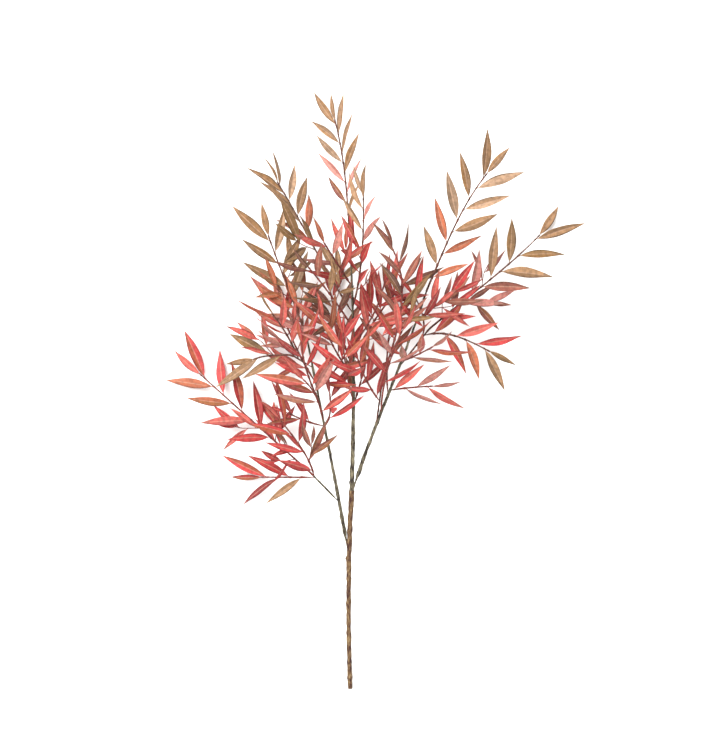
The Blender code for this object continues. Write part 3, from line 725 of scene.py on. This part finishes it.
def leafMesh(leaf, rng):
    # the vertices of a leaf's upper and lower sheets, and the line of its rib
    shape = leafShape
    length = leaf["length"] * shape["longer"]
    half = leaf["length"] * leafRule["widthShare"] / 2 * shape["wider"] * leaf["broad"]
    half *= rng.uniform(*shape["widths"])
    along = np.array(leaf["along"])
    normal = np.array(leaf["normal"])
    across = np.cross(along, normal)
    s = np.linspace(0, 1, shape["stations"]) ** shape["stationBias"]
    u = np.array(shape["across"], float)
    fold = math.radians(rng.uniform(*shape["fold"]))
    sickle = rng.uniform(-1, 1) * shape["sickle"]
    arch = rng.uniform(-1, 1) * shape["arch"]
    turn = np.radians(rng.uniform(-1, 1) * shape["twistAlong"]) * s
    wave = rng.uniform(*shape["waveSizes"]) * shape["edgeWave"]
    phase = rng.uniform(*shape["wavePhases"])
    width = np.maximum(bladeShare(s) * half, shape["stalkHalf"] * (1 - s))
    centre = (
        np.array(leaf["root"])
        + np.outer(s * length, along)
        - np.outer((leafRule["droop"] + arch) * length * s * s - arch * length * s, normal)
        + np.outer(sickle * length * (s * s - s / 2), across)
    )
    sideways = np.outer(np.cos(turn), across) + np.outer(np.sin(turn), normal)
    upward = np.outer(np.cos(turn), normal) - np.outer(np.sin(turn), across)
    reach = width[:, None] * u[None, :]
    rise = np.abs(reach) * math.tan(fold)
    waves = np.sin(2 * np.pi * shape["waves"] * s[:, None] + phase + u * shape["waveShift"])
    rise += wave * width[:, None] * waves * u**2
    rise -= shape["groove"] * np.exp(-((u / shape["grooveWidth"]) ** 2))[None, :] * (width / half)[:, None]
    veins = np.cos(2 * np.pi * shape["veins"] * (s[:, None] - shape["veinSlant"] * np.abs(u)))
    halfway = np.abs(u) * (1 - np.abs(u)) * 4  # 1 halfway between rib and edge, 0 at both
    rise += shape["veinHeight"] * veins * halfway * (width / half)[:, None]
    top = centre[:, None, :] + reach[:, :, None] * sideways[:, None, :]
    top = top + rise[:, :, None] * upward[:, None, :]
    low = top - shape["thickness"] * upward[:, None, :]
    lowest = np.minimum(top[:, :, 2], low[:, :, 2]).min(1) + shift.z
    lifted = np.maximum(0, shape["overFloor"] - lowest)[:, None]
    top[:, :, 2] += lifted
    low[:, :, 2] += lifted
    rib = centre - upward * (shape["thickness"] + shape["ribDrop"])
    rib[:, 2] += lifted[:, 0]
    return np.concatenate([top.reshape(-1, 3), low.reshape(-1, 3)]), rib


def leafFaces():
    # the faces of every leaf: both sheets, then the strips that close them at the edges and ends
    rows, columns = leafShape["stations"], len(leafShape["across"])
    under = rows * columns
    faces = []
    for k in range(rows - 1):
        for i in range(columns - 1):
            a, b = k * columns + i, (k + 1) * columns + i
            faces.append((a, a + 1, b + 1, b))
            faces.append((under + a + 1, under + a, under + b, under + b + 1))
        a, b = k * columns, (k + 1) * columns
        faces.append((a, b, under + b, under + a))
        a, b = a + columns - 1, b + columns - 1
        faces.append((b, a, under + a, under + b))
    for i in range(columns - 1):
        faces.append((i + 1, i, under + i, under + i + 1))
        a = (rows - 1) * columns + i
        faces.append((a, a + 1, under + a + 1, under + a))
    return np.array(faces)


def leafZones():
    # for each face of a leaf, its row from the stalk and its column across
    rows, columns = leafShape["stations"] - 1, len(leafShape["across"]) - 1
    zones = []
    for k in range(rows):
        zones += [(k, i) for i in range(columns) for sheet in range(2)] + [(k, 0), (k, columns - 1)]
    for i in range(columns):
        zones += [(0, i), (rows - 1, i)]
    return np.array(zones)


# A leaf's materials by number, after its three shades
clothNumber = {"edge": 3, "rib": 4, "tip": 5, "turned": 6}


def leafSlots(zones, rng):
    # the number of the cloth of each face: a shade for each half, painted light and shade of the fold where
    # the two differ, then what is laid over them
    cloth = leafCloth
    left, right = rng.choices(range(len(cloth["shades"])), weights=cloth["shadeWeights"], k=2)
    middle = (len(leafShape["across"]) - 1) // 2
    rows, columns = zones[:, 0], zones[:, 1]
    slots = np.where(columns < middle, left, right)
    hasShadedEdge = rng.random() < cloth["edgeChance"]
    hasTip = rng.random() < cloth["tipChance"]
    tipRow = rng.randint(*cloth["tipRows"])
    if rng.random() < cloth["turnChance"]:
        turnedHalf = columns < middle if rng.random() < 0.5 else columns >= middle
        slots[turnedHalf] = clothNumber["turned"]
    # painted shade: one edge of many leaves takes the darkened cloth
    if hasShadedEdge:
        slots[columns == rng.choice((0, 2 * middle - 1))] = clothNumber["edge"]
    slots[(columns == middle - 1) | (columns == middle)] = clothNumber["rib"]
    if hasTip:
        slots[rows >= tipRow] = clothNumber["tip"]
    return slots.tolist()


def addPiece(name, parts, materials, nodes, slotName):
    # joins parts of (vertices, faces, material number of each face) into one piece
    vertices, faces, slots, count = [], [], [], 0
    for partVertices, partFaces, number in parts:
        vertices.append(np.array([tuple(v) for v in partVertices]))
        faces += [tuple(count + i for i in face) for face in partFaces]
        slots += number if isinstance(number, list) else [number] * len(partFaces)
        count += len(partVertices)
    piece = newPiece(name, np.concatenate(vertices).tolist(), faces, materials, slots)
    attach(piece, "root")
    if nodes:
        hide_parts(*nodes)


# Twigs: slender tubes, swollen where each leaf's stalk leaves, and under each leaf a thinner rib
twigShape = {
    "step": 0.0022, "sides": 8, "thicker": 1.35, "swelling": 0.45, "swellingLength": 0.0022,
    "wobble": 0.10, "wobbleScale": 160.0, "fineSides": 5,
    "ribRadius": 0.00042, "ribShare": 0.86, "ribAtStalk": 1.25, "ribTaper": 0.95,
}
twigLook = {
    "red": ("#93453D", "#66302B", "#AD6153"),
    "tan": ("#7A493D", "#55322B", "#986A54"),
}


def lookOf(tint):
    # the bark of a twig with leaves of this tint
    return "tan" if tint in ("tan", "paleTan", "ochre") else "red"


def twigMesh(name, leaves):
    points, runs, radii = axisOf(name, twigShape["step"])
    places = [min(range(len(points)), key=lambda i: (points[i] - leaf["root"]).length) for leaf in leaves]

    def relief(k, angle, at):
        bumps = noise.noise(at * twigShape["wobbleScale"]) * twigShape["wobble"]
        for place in places:
            bumps += twigShape["swelling"] * bulge(runs[k] - runs[place], twigShape["swellingLength"])
        return twigShape["thicker"] * (1 + bumps)

    return tubeMesh(points, radii, twigShape["sides"], relief)


def ribMesh(rib):
    shape = twigShape
    count = int(len(rib) * shape["ribShare"])
    points = [Vector(p) for p in rib[:count]]
    radii = [shape["ribRadius"] * (shape["ribAtStalk"] - shape["ribTaper"] * k / count) for k in range(count)]
    return tubeMesh(points, radii, shape["fineSides"])


leafTemplate = leafFaces()
zones = leafZones()
limbSurface = limbTree()
leafParts = {tint: [] for tint in tints}
twigParts = {look: [] for look in twigLook}
replacedBy = {tint: [] for tint in tints}
leafCount = 0
for name, row in sprigs.items():
    rng = random.Random(name)
    order = row["tints"].split()
    leaves = grownLeaves(name)
    twigParts[lookOf(order[0])].append((*twigMesh(name, leaves), 0))
    for line, radii, fineLeaves in fineTwigsOf(name, limbSurface):
        leaves += fineLeaves
        twigParts[lookOf(order[-1])].append((*tubeMesh(line, radii, twigShape["fineSides"]), 0))
    leafCount += len(leaves)
    for leaf in leaves:
        leaf["length"] *= row.get("longer", 1)
        leaf["broad"] = row.get("broad", 1)
        jitter = rng.uniform(-leafCloth["tintJitter"], leafCloth["tintJitter"])
        share = max(0, leaf["share"] + jitter)
        tint = order[min(len(order) - 1, int(share * len(order)))]
        vertices, rib = leafMesh(leaf, rng)
        leafParts[tint].append((vertices, leafTemplate, leafSlots(zones, rng)))
        twigParts[lookOf(tint)].append((*ribMesh(rib), 0))
    replacedBy[order[0]].append(name)
report(f"{leafCount} leaves grown")


def clothsOf(tint):
    # the cloths of a tint, in the order of their numbers
    cloth = leafCloth
    codes = (tints[tint], cloth["ribColour"], cloth["tipColour"], cloth["turnColour"])
    base, pale, grey, brown = [scaled(linear(code), cloth["dyeStrength"]) for code in codes]
    # the three shades; two of them on one leaf's halves paint light and shade of its fold
    cloths = [clothMaterial(f"{tint}Cloth{i}", scaled(base, shade)) for i, shade in enumerate(cloth["shades"])]
    # the tint darkened as painted shade along one edge
    cloths.append(clothMaterial(tint + "ShadedEdge", scaled(base, cloth["edge"])))
    cloths.append(clothMaterial(tint + "Rib", mixed(base, pale, cloth["rib"])))
    cloths.append(clothMaterial(tint + "Tip", mixed(base, grey, cloth["tip"])))
    cloths.append(clothMaterial(tint + "Turned", mixed(base, brown, cloth["turn"])))
    return cloths


# A slot name of the record for each tint, handed to addPiece
slotOf = {
    "paleTan": "leaf_tan", "tan": "leaf_tan", "ochre": "leaf_tan", "orange": "leaf_russet",
    "pink": "leaf_coral", "coral": "leaf_coral", "red": "leaf_red", "deepRed": "leaf_deep_red",
    "brownRed": "leaf_russet", "brown": "leaf_brown",
}
for tint, parts in leafParts.items():
    if parts:
        addPiece("leaves_" + tint, parts, clothsOf(tint), replacedBy[tint], slotOf[tint])
for look, parts in twigParts.items():
    addPiece("twigs_" + look, parts, [barkMaterial(look + "Twig", twigLook[look])], [], "bark")
report("leaves and twigs joined")


# Floor, light and camera: a pale floor, broad soft light from above, and a camera looking straight down
studio = {
    "floor": "#F4F4F2", "floorSize": 8.0, "floorRoughness": 0.9, "floorSpecular": 0.1,
    "floorScale": 3.0, "floorStops": (0.3, 0.7), "floorPaler": 0.3, "skyStrength": 1.15,
    "keySize": 1.8, "keyEnergy": 190.0, "keyAt": (-1.6, 1.3, 2.6),
    "fillSize": 3.5, "fillEnergy": 80.0, "fillAt": (1.8, -1.6, 2.8),
    "cameraHeight": 4.0, "cameraX": 0.00845, "cameraY": 0.5512, "lens": 116.0, "sensor": 36.0,
}
white = (1, 1, 1)


def addFloor():
    half = studio["floorSize"] / 2
    mesh = bpy.data.meshes.new("floor")
    corners = [(-half, -half, 0), (half, -half, 0), (half, half, 0), (-half, half, 0)]
    mesh.from_pydata(corners, [], [(0, 1, 2, 3)])
    floor = bpy.data.objects.new("floor", mesh)
    bpy.context.scene.collection.objects.link(floor)
    material, tree, shader = newMaterial("paleFloor", studio["floorRoughness"], studio["floorSpecular"])
    patches = addNoise(tree, studio["floorScale"])
    pale = linear(studio["floor"])
    stops = list(zip(studio["floorStops"], (pale, mixed(pale, white, studio["floorPaler"]))))
    tree.links.new(addRamp(tree, patches.outputs["Fac"], stops), shader.inputs["Base Color"])
    mesh.materials.append(material)


def addLight(name, at, size, energy):
    light = bpy.data.lights.new(name, "AREA")
    light.shape = "SQUARE"
    light.size = size
    light.energy = energy
    lamp = bpy.data.objects.new(name, light)
    lamp.location = at
    lamp.rotation_euler = (-Vector(at)).to_track_quat("-Z", "Y").to_euler()
    bpy.context.scene.collection.objects.link(lamp)


def addSky():
    world = bpy.data.worlds.new("studioSky")
    world.use_nodes = True
    background = world.node_tree.nodes["Background"]
    background.inputs["Color"].default_value = (*white, 1)
    background.inputs["Strength"].default_value = studio["skyStrength"]
    bpy.context.scene.world = world


def addCamera():
    camera = bpy.data.cameras.new("camera")
    camera.lens = studio["lens"]
    camera.sensor_width = studio["sensor"]
    holder = bpy.data.objects.new("camera", camera)
    holder.location = (shift.x + studio["cameraX"], shift.y + studio["cameraY"], studio["cameraHeight"])
    bpy.context.scene.collection.objects.link(holder)
    bpy.context.scene.camera = holder


addFloor()
addLight("keyLight", studio["keyAt"], studio["keySize"], studio["keyEnergy"])
addLight("fillLight", studio["fillAt"], studio["fillSize"], studio["fillEnergy"])
addSky()
addCamera()
bpy.context.scene.view_settings.view_transform = "Standard"
report("floor, light and camera")
